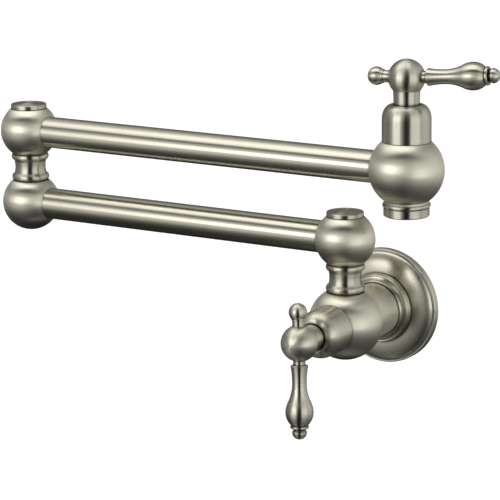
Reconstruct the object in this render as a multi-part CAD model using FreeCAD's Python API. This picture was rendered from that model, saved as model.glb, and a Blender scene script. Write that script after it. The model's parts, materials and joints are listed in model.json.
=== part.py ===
"""Wall mounted pot filler: a wall valve, two jointed swing arms and an outlet valve.

Millimetres.  The origin is where the inlet's axis meets the wall.  +X runs along the wall to the right,
+Y goes into the wall and +Z is up.  The folded arms lie along the wall: the lower arm runs from the wall
valve to the elbow on the left, and the upper arm comes back over it to the outlet.

Every round piece is an outline of radius and height, turned about Z in a frame of its own:
  - a swivel's frame has its origin at the centre of the ball that turns on the stem, Z up;
  - a valve's frame has its origin at the centre of the valve's ball, Z out along the spindle, X along the
    lever, so that the water comes or leaves at -X and at -Z;
  - a grip's frame has its origin at the centre of the hub's ball, Z out along the lever or the knob.
"""
import FreeCAD, Part
import math
import os

V = FreeCAD.Vector

# ------------------------------------------------------------------ the reach and the arms
wall_reach = 58.0               # wall to the upright axis of the wall valve
lower_arm_length = 254.0        # wall valve's axis to the elbow's axis
upper_arm_length = 299.6        # elbow's axis to the outlet's axis
tube_radius = 10.8
tube_wall = 1.2

# ------------------------------------------------------------------ the balls
joint_ball_radius = 20.0        # the three balls of the arms' joints
valve_ball_radius = 24.7        # the wall valve's ball and the outlet's ball
seat_radius = 12.6              # rim of each flat that a neck or a cap sits on
joint_tube_inset = 12.0         # joint ball's centre to the end of the tube in it
valve_tube_inset = 15.0         # outlet ball's centre to the end of the tube in it

# ------------------------------------------------------------------ clearances
fit_gap = 0.05                  # round pieces that are screwed, brazed or pushed together
running_gap = 0.05              # a stem or a spindle turning in its bore
slip_gap = 0.3                  # faces that pass each other without touching
seal_gap = 0.02                 # a ring seal and what it seals against

# ------------------------------------------------------------------ the two swivels
neck_length = 18.75
neck_waist_radius = 10.6        # narrowest, half way up
neck_waist_flare = 0.3          # how much wider the waist is where the coves begin
neck_bead_radius = 13.0
neck_bead_height = 4.0
neck_bead_foot = 1.0            # the bead's end is this much smaller than its middle
neck_bead_shoulder = 0.7        # and its inner edge this much
neck_cove_height = 2.3          # hollow curve between a bead and the waist
slip_washer_thickness = 0.5
slip_washer_radius = 11.8
stem_radius = 8.0
stem_bore_radius = 4.5
stem_thread_radius = 6.0        # the stem's top, which takes the nut
stem_socket_depth = 7.0         # how deep the stem's foot is screwed into the ball below
stem_port_radius = 2.6          # cross holes that let the water into the turning ball
stem_port_count = 4
ring_chamber_radius = 10.2      # water space round the stem's cross holes
ring_chamber_height = 9.2
ball_passage_radius = 4.4       # from that space to the tube
stem_ring_section = 1.9         # thickness of the stem's seal rings
nut_pocket_radius = 10.0
nut_pocket_depth = 7.5
nut_washer_thickness = 0.8
nut_washer_radius = 9.6
nut_height = 3.5
nut_across_flats = 16.0
elbow_bore_radius = 7.5         # level bore of the ball under the elbow
elbow_bore_overrun = 4.0        # how far that bore runs past the ball's centre
socket_passage_radius = 5.5     # way up or down through the floor of a stem's socket

# ------------------------------------------------------------------ the caps on the joint balls
cap_radius = 12.4
cap_side_height = 3.3
cap_crown = 0.8                 # rise of the domed top
cap_edge = 0.6                  # rounded edge
cap_shadow_gap = 0.3            # undercut round the cap's foot
cap_foot_radius = 11.6
cap_plug_depth = 2.0

# ------------------------------------------------------------------ the valves, seen along the spindle
valve_seat_depth = 6.0          # ball's centre back to the seat
water_bore_radius = 7.0         # water way on the far side of the seat
cartridge_cavity_radius = 12.05
cartridge_foot_radius = 10.0
cartridge_foot_bore = 8.6
cartridge_foot_lift = 0.5       # the foot stops short of the seat, so that only the seal touches it
cartridge_chamber_height = 14.0 # inside the foot
cartridge_flange_level = 10.0
cartridge_flange_thickness = 4.0
cartridge_barrel_radius = 10.2
cartridge_nose_radius = 8.6
cartridge_nose_length = 4.0
cartridge_top_level = 30.0
cartridge_ring_section = 1.6
window_width = 9.0
window_bottom_level = 2.2
window_top_level = 7.9
seat_seal_inner_radius = 5.5
seat_seal_thickness = 2.5
disc_thickness = 2.5
disc_radius = 8.5
disc_hole_radius = 2.2
disc_hole_offset = 4.6
tongue_width = 4.0              # slot across the turning disc, and the spindle's tongue in it
tongue_depth = 1.0
tongue_height = 3.0
tongue_radius = 7.6
spindle_radius = 5.0
spindle_collar_thickness = 1.5
spindle_ring_section = 1.5
spindle_ring_level = 20.0
spindle_shoulder = 2.0          # how far the thick part of the spindle stands out of the cartridge
spindle_tip_radius = 3.5
spindle_tip_rise = 3.0          # how far the spindle runs past the hub's centre
spindle_flat_depth = 0.6
clip_groove_radius = 4.2
clip_radius = 6.4
clip_thickness = 0.8
clip_mouth = 4.0

# ------------------------------------------------------------------ the bonnets
bonnet_radius = 16.05
bonnet_shoulder_level = 33.5    # where the straight side ends
bonnet_mouth_level = 43.0
bonnet_mouth_radius = 9.9
bonnet_throat_radius = 9.0
bonnet_throat_length = 3.5
bonnet_wall = 2.0
bonnet_edge = 0.5
bonnet_floor_thickness = 2.0
bonnet_stub_radius = 13.5
bonnet_stub_bore = 10.5

# ------------------------------------------------------------------ the handles
hub_level = 60.4                # valve ball's centre to the hub's centre
hub_radius = 12.1
hub_neck_radius = 8.8           # where the neck meets the hub's ball
hub_neck_end_radius = 8.35      # at the bonnet's mouth
hub_neck_entry = 1.5            # how far the neck goes into the bonnet's mouth
hub_counterbore_radius = 5.5
hub_counterbore_depth = 5.0
grip_socket_level = 10.4        # hub's centre to the floor of the sockets for lever and knob
grip_neck_radius = 4.0
grip_stud_radius = 2.6
lever_stud_start = 5.0          # hub's centre to the tip of the lever's stud
lever_tilt = 4.4                # degrees that the lever leans away from the valve
lever_collar_start = 14.1
lever_collar_radius = 5.75
lever_collar_bevel = 0.9
lever_waist_at = 26.0
lever_waist_radius = 4.75
lever_bulge_at = 45.3
lever_bulge_radius = 9.15
lever_bulge_curve = 14.8        # radius of the long curve on the hub's side of the bulge
lever_bulge_end = 53.9
lever_bulge_end_radius = 5.35
lever_ring_radius = 6.2
lever_ring_thickness = 2.0
lever_tip_neck_radius = 3.6
lever_tip_at = 58.2
lever_tip_radius = 4.95
knob_at = 20.5
knob_radius = 6.0
knob_ring_radius = 4.5
knob_ring_thickness = 1.1
wall_handle_turn = 2.35         # degrees that the wall lever stands off straight down, to the right
outlet_handle_turn = 7.4        # degrees that the outlet lever stands off the arm's line, to the wall

# ------------------------------------------------------------------ the wall end
shank_radius = 18.2
shank_end_gap = 4.0             # wall to the end of the shank
inlet_socket_depth = 18.0
inlet_thread_radius = 10.67     # half-inch pipe thread, outside
inlet_engaged_radius = 10.5     # the part of the nipple that is screwed into the shank
inlet_bore_radius = 7.5
inlet_projection = 22.0         # how far the nipple goes into the wall
inlet_chamfer = 1.0
gasket_thickness = 0.8
gasket_width = 9.4              # rim to bore of the gasket
gasket_margin = 0.6             # the gasket stands this far inside the flange's rim
flange_radius = 39.4
flange_side_level = 6.0         # wall to the front of the rim
flange_lip_width = 1.5
flange_lip_step = 0.45
flange_edge = 0.6
flange_face_level = 10.6        # wall to the flat round the collar
flange_wall = 1.4
flange_bore_gap = 0.25
collar_radius = 24.0
collar_top_level = 17.2         # wall to the front of the collar
collar_step_level = 14.8        # wall to the rounded edge half way up
collar_taper = 0.8              # how much the side draws in up to that edge
collar_edge = 0.6
collar_face_rise = 1.9          # the sloping front, from that edge to the bore
collar_face_hollow = 0.35
collar_foot_gap = 0.7           # dark groove between collar and flange
collar_foot_inset = 1.3
collar_mouth_bevel = 0.5
shank_ring_section = 1.9
shank_ring_level = 14.0

# ------------------------------------------------------------------ the outlet's mouth
nozzle_radius = 14.8
nozzle_level = 21.4             # ball's centre down to the nozzle's end
aerator_pocket_level = 14.5     # ball's centre down to the pocket's roof
aerator_pocket_radius = 12.0
aerator_bead_radius = 15.75
aerator_bead_height = 2.7
aerator_length = 8.6            # from the nozzle's end down
aerator_radius = 15.0
aerator_edge = 0.7
aerator_line_depth = 0.25       # fine line under the bead
aerator_stub_length = 5.4
aerator_bore_radius = 10.9
aerator_lip_radius = 10.0
aerator_lip_thickness = 1.2
aerator_washer_bore = 8.0
insert_hole_radius = 1.25
insert_hole_pitch = 3.3
insert_hole_rings = 2

# ------------------------------------------------------------------ sizes that follow from the ones above
joint_flat = math.sqrt(joint_ball_radius ** 2 - seat_radius ** 2)
valve_flat = math.sqrt(valve_ball_radius ** 2 - seat_radius ** 2)
bonnet_seat = math.sqrt(valve_ball_radius ** 2 - bonnet_radius ** 2)
neck_span = neck_length + 2 * slip_washer_thickness
lower_arm_height = valve_flat + neck_span + joint_flat
upper_arm_height = lower_arm_height + 2 * joint_flat + neck_span
elbow_x = -lower_arm_length
outlet_x = upper_arm_length - lower_arm_length

nut_floor = joint_flat - nut_pocket_depth
stem_shoulder = nut_floor + slip_gap
nut_seat = stem_shoulder + nut_washer_thickness
nut_top = nut_seat + nut_height
neck_bottom = -joint_flat - neck_span + slip_washer_thickness
ring_groove_levels = [(ring_chamber_height / 2 + nut_floor) / 2,
                      -(ring_chamber_height / 2 + joint_flat) / 2]

seat_level = -valve_seat_depth
fixed_disc_level = seat_level + seat_seal_thickness
turning_disc_level = fixed_disc_level + disc_thickness
turning_disc_top = turning_disc_level + disc_thickness
cartridge_foot_level = seat_level + cartridge_foot_lift
cartridge_chamber_top = cartridge_foot_level + cartridge_chamber_height
cartridge_flange_top = cartridge_flange_level + cartridge_flange_thickness
tongue_bottom = turning_disc_top - tongue_depth
tongue_top = tongue_bottom + tongue_height
spindle_shoulder_level = cartridge_top_level + spindle_shoulder
clip_level = cartridge_top_level + slip_gap
hub_neck_bottom = bonnet_mouth_level - hub_neck_entry - hub_level
wall_level = -wall_reach
shank_end_level = wall_level + shank_end_gap
aerator_end = nozzle_level + aerator_length


# ------------------------------------------------------------------ drawing tools
class Outline:
    """A closed outline of radius and height that is turned about Z into a solid."""

    def __init__(self, radius, height):
        self.start = V(radius, 0, height)
        self.here = self.start
        self.edges = []

    def line(self, radius, height):
        there = V(radius, 0, height)
        if there.distanceToPoint(self.here) > 1e-6:
            self.edges.append(Part.LineSegment(self.here, there).toShape())
            self.here = there
        return self

    def arc(self, through_radius, through_height, radius, height):
        there = V(radius, 0, height)
        through = V(through_radius, 0, through_height)
        self.edges.append(Part.Arc(self.here, through, there).toShape())
        self.here = there
        return self

    def arc_about(self, centre_radius, centre_height, radius, height):
        """The shorter arc to a point, about a centre."""
        there = V(radius, 0, height)
        centre = V(centre_radius, 0, centre_height)
        size = self.here.distanceToPoint(centre)
        half_way = (self.here - centre) + (there - centre)
        through = centre + half_way * (size / half_way.Length)
        return self.arc(through.x, through.z, radius, height)

    def ellipse_quarter(self, centre_radius, centre_height, radius, height):
        """A quarter ellipse about a centre, to a point level with or beside that centre."""
        there = V(radius, 0, height)
        centre = V(centre_radius, 0, centre_height)
        legs = [self.here - centre, there - centre]
        longer = max(legs, key=lambda leg: leg.Length)
        shorter = min(legs, key=lambda leg: leg.Length)
        ellipse = Part.Ellipse(centre + longer, centre + shorter, centre)
        first = ellipse.parameter(self.here)
        last = ellipse.parameter(there)
        sweep = (last - first) % (2 * math.pi)
        if sweep > math.pi:
            first, last = last, first
        self.edges.append(ellipse.toShape(first, last if last > first else last + 2 * math.pi))
        self.here = there
        return self

    def turned(self):
        self.line(self.start.x, self.start.z)
        face = Part.Face(Part.Wire(Part.__sortEdges__(self.edges)))
        return face.revolve(V(0, 0, 0), V(0, 0, 1), 360)


def rod(radius, bottom, top):
    return Part.makeCylinder(radius, top - bottom, V(0, 0, bottom))


def ring(inner_radius, outer_radius, bottom, top):
    return rod(outer_radius, bottom, top).cut(rod(inner_radius, bottom - 1, top + 1))


def side_rod(radius, start, end, direction):
    """A level rod from start to end, measured along a level direction from the origin."""
    way = V(direction)
    way.normalize()
    return Part.makeCylinder(radius, end - start, way * start, way)


def slab(width, bottom, top, reach):
    """A bar along X, centred on the axis, for slots and tongues."""
    return Part.makeBox(2 * reach, width, top - bottom, V(-reach, -width / 2, bottom))


def cut_all(body, tools):
    for tool in tools:
        body = body.cut(tool)
    return body


def seal_ring(centre_radius, section, level):
    return Part.makeTorus(centre_radius, section / 2, V(0, 0, level))


def seal_groove(outer_radius, section, level):
    """The groove that a seal ring lies in, cut into a shaft of this radius."""
    floor = outer_radius - section - seal_gap
    half_width = section / 2 + seal_gap * 5
    return ring(floor, outer_radius + 1, level - half_width, level + half_width)


def placement(origin, x_axis=V(1, 0, 0), z_axis=V(0, 0, 1)):
    turn = FreeCAD.Rotation(x_axis, z_axis.cross(x_axis), z_axis, "ZXY")
    return FreeCAD.Placement(origin, turn)


def placed(shape, *placements):
    """A copy of the shape, put through each placement in turn, the innermost first."""
    copy = shape.copy()
    for step in placements:
        copy.Placement = step.multiply(copy.Placement)
    return copy


# ------------------------------------------------------------------ the swivels
def joint_ball(flat_below):
    """A joint ball with a flat on top, and one below where a neck meets it."""
    lowest = -joint_flat if flat_below else -joint_ball_radius
    outline = Outline(0, joint_flat).line(seat_radius, joint_flat)
    outline.arc(joint_ball_radius, 0, seat_radius, -joint_flat)
    if flat_below:
        outline.line(0, lowest)
    else:
        outline.arc_about(0, 0, 0, lowest)
    return outline.turned()


def tube_socket(ball, tube_way, inset, passage_radius, passage_start):
    """Bores a ball for the tube's end and for the water behind it."""
    socket = side_rod(tube_radius + fit_gap, inset, 2 * valve_ball_radius, tube_way)
    passage = side_rod(passage_radius, passage_start, inset + 1, tube_way)
    return cut_all(ball, [socket, passage])


def turning_ball(tube_way):
    """A joint ball that turns on a stem, with the pocket for its nut."""
    ball = joint_ball(flat_below=True)
    half_chamber = ring_chamber_height / 2
    ball = cut_all(ball, [
        rod(stem_radius + running_gap, -joint_ball_radius, nut_floor + 1),
        rod(nut_pocket_radius, nut_floor, joint_ball_radius),
        rod(ring_chamber_radius, -half_chamber, half_chamber)])
    return tube_socket(ball, tube_way, joint_tube_inset, ball_passage_radius, 0)


def elbow_ball(tube_way):
    """The ball under the elbow, which holds the foot of the elbow's stem."""
    ball = joint_ball(flat_below=False)
    socket_floor = joint_flat - stem_socket_depth
    ball = cut_all(ball, [
        rod(stem_radius + fit_gap, socket_floor, joint_ball_radius),
        rod(socket_passage_radius, 0, socket_floor + 1)])
    return tube_socket(ball, tube_way, joint_tube_inset, elbow_bore_radius, -elbow_bore_overrun)


def swivel_stem():
    """Hollow stem, screwed into the ball below, with cross holes and two seal grooves."""
    foot = -joint_flat - neck_span - stem_socket_depth + fit_gap
    stem = rod(stem_radius, foot, stem_shoulder)
    stem = stem.fuse(rod(stem_thread_radius, stem_shoulder, nut_top + slip_gap))
    bore_top = ring_groove_levels[0] - stem_ring_section
    stem = stem.cut(rod(stem_bore_radius, foot - 1, bore_top))
    for index in range(stem_port_count):
        angle = 2 * math.pi * index / stem_port_count
        way = V(math.cos(angle), math.sin(angle), 0)
        stem = stem.cut(side_rod(stem_port_radius, 0, 2 * stem_radius, way))
    for level in ring_groove_levels:
        stem = stem.cut(seal_groove(stem_radius, stem_ring_section, level))
    return stem


def swivel_neck():
    """Waisted sleeve round the stem, with a full bead at each end."""
    half = neck_length / 2
    middle = neck_bottom + half
    bead_middle = half - neck_bead_height / 2
    bead_inner = half - neck_bead_height
    cove_end = bead_inner - neck_cove_height
    end_radius = neck_bead_radius - neck_bead_foot
    shoulder_radius = neck_bead_radius - neck_bead_shoulder
    waist_end_radius = neck_waist_radius + neck_waist_flare
    cove_radius = (shoulder_radius + 2 * waist_end_radius) / 3
    cove_level = (2 * bead_inner + cove_end) / 3
    bore = stem_radius + fit_gap
    outline = Outline(bore, middle - half).line(end_radius, middle - half)
    outline.arc(neck_bead_radius, middle - bead_middle, shoulder_radius, middle - bead_inner)
    outline.arc(cove_radius, middle - cove_level, waist_end_radius, middle - cove_end)
    outline.arc(neck_waist_radius, middle, waist_end_radius, middle + cove_end)
    outline.arc(cove_radius, middle + cove_level, shoulder_radius, middle + bead_inner)
    outline.arc(neck_bead_radius, middle + bead_middle, end_radius, middle + half)
    outline.line(bore, middle + half)
    return outline.turned()


def swivel_seal_rings():
    centre_radius = stem_radius - stem_ring_section / 2 - seal_gap / 2
    return Part.makeCompound([seal_ring(centre_radius, stem_ring_section, level)
                              for level in ring_groove_levels])


def swivel_washers():
    """Slip washers below and above the neck, and one under the nut."""
    bore = stem_radius + fit_gap
    neck_top = -joint_flat - slip_washer_thickness
    return Part.makeCompound([
        ring(bore, slip_washer_radius, neck_bottom - slip_washer_thickness, neck_bottom),
        ring(bore, slip_washer_radius, neck_top, -joint_flat),
        ring(stem_thread_radius + fit_gap, nut_washer_radius, stem_shoulder, nut_seat)])


def swivel_nut():
    corner_radius = nut_across_flats / 2 / math.cos(math.pi / 6)
    corners = [V(corner_radius * math.cos(math.pi * k / 3), corner_radius * math.sin(math.pi * k / 3), nut_seat)
               for k in range(7)]
    hexagon = Part.Face(Part.makePolygon(corners)).extrude(V(0, 0, nut_height))
    return hexagon.cut(rod(stem_thread_radius + fit_gap, nut_seat - 1, nut_top + 1))


def joint_cap():
    """Cap screwed into the nut's pocket, with a domed top and an undercut foot."""
    side_foot = joint_flat + cap_shadow_gap
    side_top = joint_flat + cap_side_height
    plug_radius = nut_pocket_radius - fit_gap
    rim_radius = cap_radius - cap_edge
    outline = Outline(0, joint_flat - cap_plug_depth).line(plug_radius, joint_flat - cap_plug_depth)
    outline.line(plug_radius, joint_flat).line(cap_foot_radius, joint_flat)
    outline.line(cap_foot_radius, side_foot).line(cap_radius - cap_edge / 3, side_foot)
    outline.line(cap_radius, side_foot + cap_edge / 3).line(cap_radius, side_top - cap_edge)
    outline.arc_about(rim_radius, side_top - cap_edge, rim_radius, side_top)
    crown_curve = (rim_radius ** 2 + cap_crown ** 2) / (2 * cap_crown)
    outline.arc_about(0, side_top + cap_crown - crown_curve, 0, side_top + cap_crown)
    return outline.turned()


def arm_tube(start, end):
    """A level tube along X between two places on it."""
    way = V(1, 0, 0)
    length = end - start
    outside = Part.makeCylinder(tube_radius, length, V(start, 0, 0), way)
    inside = Part.makeCylinder(tube_radius - tube_wall, length + 2, V(start - 1, 0, 0), way)
    return outside.cut(inside)


# ------------------------------------------------------------------ the valves
def valve_ball():
    """A valve's ball, flat where the bonnet sits, bored for the cartridge and the water."""
    outline = Outline(0, bonnet_seat).line(bonnet_radius, bonnet_seat)
    outline.arc_about(0, 0, valve_ball_radius, 0)
    outline.arc_about(0, 0, 0, -valve_ball_radius)
    return cut_all(outline.turned(), valve_bores())


def valve_bores():
    return [rod(cartridge_cavity_radius, seat_level, cartridge_flange_top + 1),
            rod(bonnet_stub_radius + fit_gap, cartridge_flange_top, valve_ball_radius),
            rod(water_bore_radius, -valve_ball_radius, seat_level + 1)]


def wall_body():
    """The wall valve's ball with its shank, bored for the inlet and the lower stem."""
    shank = rod(shank_radius, shank_end_level, 0)
    socket_top = shank_end_level + inlet_socket_depth
    body = valve_ball().fuse(shank)
    socket_floor = valve_flat - stem_socket_depth
    flat_cut = Part.makeBox(valve_ball_radius, 2 * valve_ball_radius, 2 * valve_ball_radius,
                            V(-valve_flat - valve_ball_radius, -valve_ball_radius, -valve_ball_radius))
    return cut_all(body, valve_bores() + [
        flat_cut,
        rod(water_bore_radius, shank_end_level, seat_level),
        rod(inlet_engaged_radius + fit_gap, shank_end_level - 1, socket_top),
        side_rod(stem_radius + fit_gap, socket_floor, valve_ball_radius, V(-1, 0, 0)),
        side_rod(socket_passage_radius, 0, socket_floor + 1, V(-1, 0, 0))]).removeSplitter()


def outlet_body():
    """The outlet's ball with the short nozzle that takes the aerator."""
    nozzle = rod(nozzle_radius, -nozzle_level, 0)
    body = valve_ball().fuse(nozzle)
    body = cut_all(body, valve_bores() + [
        rod(2 * valve_ball_radius, -2 * valve_ball_radius, -nozzle_level),
        rod(water_bore_radius, -aerator_pocket_level - 1, seat_level),
        rod(aerator_pocket_radius, -nozzle_level - 1, -aerator_pocket_level)])
    body = tube_socket(body, V(-1, 0, 0), valve_tube_inset, socket_passage_radius, 0)
    return body.removeSplitter()


def bonnet():
    """Dome nut: a straight side, an elliptical shoulder and a mouth for the hub's neck."""
    cavity_radius = bonnet_radius - bonnet_wall
    floor_top = bonnet_seat + bonnet_floor_thickness
    throat_bottom = bonnet_mouth_level - bonnet_throat_length
    stub_bottom = cartridge_flange_top + fit_gap
    lip = (bonnet_mouth_radius - bonnet_throat_radius) / 3
    outline = Outline(bonnet_stub_bore, stub_bottom).line(bonnet_stub_radius, stub_bottom)
    outline.line(bonnet_stub_radius, bonnet_seat).line(bonnet_radius - bonnet_edge, bonnet_seat)
    outline.arc_about(bonnet_radius - bonnet_edge, bonnet_seat + bonnet_edge,
                      bonnet_radius, bonnet_seat + bonnet_edge)
    outline.line(bonnet_radius, bonnet_shoulder_level)
    outline.ellipse_quarter(bonnet_mouth_radius, bonnet_shoulder_level,
                            bonnet_mouth_radius, bonnet_mouth_level)
    outline.line(bonnet_throat_radius + lip, bonnet_mouth_level)
    outline.line(bonnet_throat_radius, bonnet_mouth_level - lip)
    outline.line(bonnet_throat_radius, throat_bottom)
    outline.line(cavity_radius, bonnet_shoulder_level - bonnet_wall)
    outline.line(cavity_radius, floor_top).line(bonnet_stub_bore, floor_top)
    return outline.turned()


def cartridge_body():
    """Brass cartridge: windowed foot, sealing flange and the barrel that guides the spindle."""
    flange_radius_here = cartridge_cavity_radius - fit_gap
    nose_bottom = cartridge_top_level - cartridge_nose_length
    outline = Outline(cartridge_foot_bore, cartridge_foot_level)
    outline.line(cartridge_foot_radius, cartridge_foot_level)
    outline.line(cartridge_foot_radius, cartridge_flange_level)
    outline.line(flange_radius_here, cartridge_flange_level).line(flange_radius_here, cartridge_flange_top)
    outline.line(cartridge_barrel_radius, cartridge_flange_top).line(cartridge_barrel_radius, nose_bottom)
    outline.line(cartridge_nose_radius, nose_bottom).line(cartridge_nose_radius, cartridge_top_level)
    outline.line(spindle_radius + running_gap, cartridge_top_level)
    outline.line(spindle_radius + running_gap, cartridge_chamber_top)
    outline.line(cartridge_foot_bore, cartridge_chamber_top)
    groove_level = (cartridge_flange_level + cartridge_flange_top) / 2
    return cut_all(outline.turned(), [
        slab(window_width, window_bottom_level, window_top_level, cartridge_cavity_radius),
        seal_groove(flange_radius_here, cartridge_ring_section, groove_level)])


def cartridge_seal():
    return ring(seat_seal_inner_radius, disc_radius, seat_level, fixed_disc_level)


def cartridge_seal_ring():
    centre_radius = cartridge_cavity_radius - fit_gap - (cartridge_ring_section + seal_gap) / 2
    level = (cartridge_flange_level + cartridge_flange_top) / 2
    return seal_ring(centre_radius, cartridge_ring_section, level)


def ceramic_disc(radius, level, hole_way):
    """A disc with two holes, in line with a level direction."""
    disc = rod(radius, level, level + disc_thickness)
    for side in (1, -1):
        hole = rod(disc_hole_radius, level - 1, level + disc_thickness + 1)
        hole.translate(hole_way * (side * disc_hole_offset))
        disc = disc.cut(hole)
    return disc


def fixed_disc():
    return ceramic_disc(disc_radius, fixed_disc_level, V(1, 0, 0))


def turning_disc():
    """The upper disc, shut: its holes lie across those below, and its slot takes the tongue."""
    disc = ceramic_disc(cartridge_foot_bore - slip_gap, turning_disc_level, V(0, 1, 0))
    return disc.cut(slab(tongue_width, tongue_bottom, turning_disc_top + 1, disc_radius))


def spindle():
    """Tongue, blow-out collar, sealed shaft with its clip groove, and the tip that the hub sits on."""
    tongue = slab(tongue_width - 2 * fit_gap, tongue_bottom, tongue_top, disc_radius)
    tongue = tongue.common(rod(tongue_radius, tongue_bottom, tongue_top))
    collar_top = cartridge_chamber_top - slip_gap
    tip_top = hub_level + spindle_tip_rise
    shaft = rod(spindle_radius, tongue_top, spindle_shoulder_level)
    shaft = shaft.fuse([tongue,
                        rod(tongue_radius, collar_top - spindle_collar_thickness, collar_top),
                        rod(spindle_tip_radius, spindle_shoulder_level, tip_top)])
    flat_reach = grip_stud_radius + slip_gap
    flat = Part.makeBox(spindle_radius, 2 * spindle_radius, 2 * flat_reach,
                        V(-spindle_tip_radius + spindle_flat_depth - spindle_radius,
                          -spindle_radius, hub_level - flat_reach))
    return cut_all(shaft, [
        flat,
        seal_groove(spindle_radius, spindle_ring_section, spindle_ring_level),
        ring(clip_groove_radius, clip_radius, clip_level, clip_level + clip_thickness)])


def spindle_seal_ring():
    centre_radius = spindle_radius - spindle_ring_section / 2 - seal_gap / 2
    return seal_ring(centre_radius, spindle_ring_section, spindle_ring_level)


def spindle_clip():
    """Open clip in the spindle's groove, just clear of the cartridge's top."""
    clip = ring(clip_groove_radius, clip_radius, clip_level, clip_level + clip_thickness)
    mouth = Part.makeBox(2 * clip_radius, clip_mouth, 2 * clip_thickness,
                         V(0, -clip_mouth / 2, clip_level - clip_thickness / 2))
    return clip.cut(mouth)


# ------------------------------------------------------------------ the handles
def grip_placement(tilt, side):
    """The frame of a lever (side 1) or a knob (side -1), in the hub's frame."""
    lean = math.radians(tilt)
    way = V(side * math.cos(lean), 0, math.sin(lean))
    across = V(0, 1, 0).cross(way)
    return placement(V(0, 0, 0), across, way)


def grip_bores(stud_start):
    """What a hub needs taken out for a lever or a knob, in the grip's frame."""
    return [rod(grip_neck_radius + fit_gap, grip_socket_level, 2 * hub_radius),
            rod(grip_stud_radius + fit_gap, stud_start - fit_gap, grip_socket_level + 1)]


def handle_hub():
    """Ball and neck that sit on the spindle's tip, bored for the lever and the knob."""
    neck_top = -math.sqrt(hub_radius ** 2 - hub_neck_radius ** 2)
    outline = Outline(0, hub_neck_bottom).line(hub_neck_end_radius, hub_neck_bottom)
    outline.line(hub_neck_radius, neck_top)
    outline.arc_about(0, 0, hub_radius, 0)
    outline.arc_about(0, 0, 0, hub_radius)
    counterbore_top = hub_neck_bottom + hub_counterbore_depth
    bores = [rod(hub_counterbore_radius, hub_neck_bottom - 1, counterbore_top),
             rod(spindle_tip_radius + fit_gap, hub_neck_bottom, spindle_tip_rise + slip_gap)]
    for bore in grip_bores(lever_stud_start):
        bores.append(placed(bore, grip_placement(lever_tilt, 1)))
    for bore in grip_bores(0):
        bores.append(placed(bore, grip_placement(0, -1)))
    return cut_all(outline.turned(), bores)


def lever_outline():
    """Stud, neck, collar, waist, bulge, ring and tip bead, along the lever."""
    # The long curve of the bulge and the hollow of the waist are two arcs that touch smoothly.
    run = lever_bulge_at - lever_waist_at
    drop = lever_bulge_radius - lever_bulge_curve - lever_waist_radius
    waist_curve = (run ** 2 + drop ** 2 - lever_bulge_curve ** 2) / (2 * (lever_bulge_curve + drop))
    waist_centre = lever_waist_radius + waist_curve
    bulge_centre = lever_bulge_radius - lever_bulge_curve
    share = lever_bulge_curve / (lever_bulge_curve + waist_curve)
    touch_at = lever_bulge_at - share * run
    touch_radius = bulge_centre + share * (waist_centre - bulge_centre)
    # The collar's side meets the waist, and the bulge's end meets the ring, in arcs level at waist and bulge.
    collar_at = lever_collar_start + lever_collar_bevel
    collar_fall = lever_collar_radius - lever_waist_radius
    collar_curve = ((lever_waist_at - collar_at) ** 2 + collar_fall ** 2) / (2 * collar_fall)
    end_fall = lever_bulge_radius - lever_bulge_end_radius
    end_curve = ((lever_bulge_end - lever_bulge_at) ** 2 + end_fall ** 2) / (2 * end_fall)
    ring_end = lever_bulge_end + lever_ring_thickness
    ring_middle = (lever_bulge_end + ring_end) / 2
    tip_start = lever_tip_at - math.sqrt(lever_tip_radius ** 2 - lever_tip_neck_radius ** 2)

    outline = Outline(0, lever_stud_start).line(grip_stud_radius, lever_stud_start)
    outline.line(grip_stud_radius, grip_socket_level + fit_gap)
    outline.line(grip_neck_radius, grip_socket_level + fit_gap)
    outline.line(grip_neck_radius, lever_collar_start)
    outline.line(lever_collar_radius - lever_collar_bevel, lever_collar_start)
    outline.line(lever_collar_radius, collar_at)
    outline.arc_about(lever_waist_radius + collar_curve, lever_waist_at, lever_waist_radius, lever_waist_at)
    outline.arc_about(waist_centre, lever_waist_at, touch_radius, touch_at)
    outline.arc_about(bulge_centre, lever_bulge_at, lever_bulge_radius, lever_bulge_at)
    outline.arc_about(lever_bulge_radius - end_curve, lever_bulge_at, lever_bulge_end_radius, lever_bulge_end)
    outline.arc(lever_ring_radius, ring_middle, lever_bulge_end_radius, ring_end)
    outline.line(lever_tip_neck_radius, ring_end)
    if tip_start > ring_end:
        outline.line(lever_tip_neck_radius, tip_start)
    outline.arc_about(0, lever_tip_at, lever_tip_radius, lever_tip_at)
    outline.arc_about(0, lever_tip_at, 0, lever_tip_at + lever_tip_radius)
    return outline


def handle_knob():
    """Ball end opposite the lever: its stud bears on the spindle's flat and locks the hub."""
    stud_start = spindle_tip_radius - spindle_flat_depth + fit_gap
    ring_end = knob_at - math.sqrt(knob_radius ** 2 - knob_ring_radius ** 2)
    ring_start = ring_end - knob_ring_thickness
    outline = Outline(0, stud_start).line(grip_stud_radius, stud_start)
    outline.line(grip_stud_radius, grip_socket_level + fit_gap)
    outline.line(grip_neck_radius, grip_socket_level + fit_gap)
    outline.line(grip_neck_radius, ring_start)
    outline.line(knob_ring_radius - knob_ring_thickness / 4, ring_start)
    outline.line(knob_ring_radius, ring_start + knob_ring_thickness / 4)
    outline.line(knob_ring_radius, ring_end)
    outline.arc_about(0, knob_at, knob_radius, knob_at)
    outline.arc_about(0, knob_at, 0, knob_at + knob_radius)
    return outline.turned()


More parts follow.
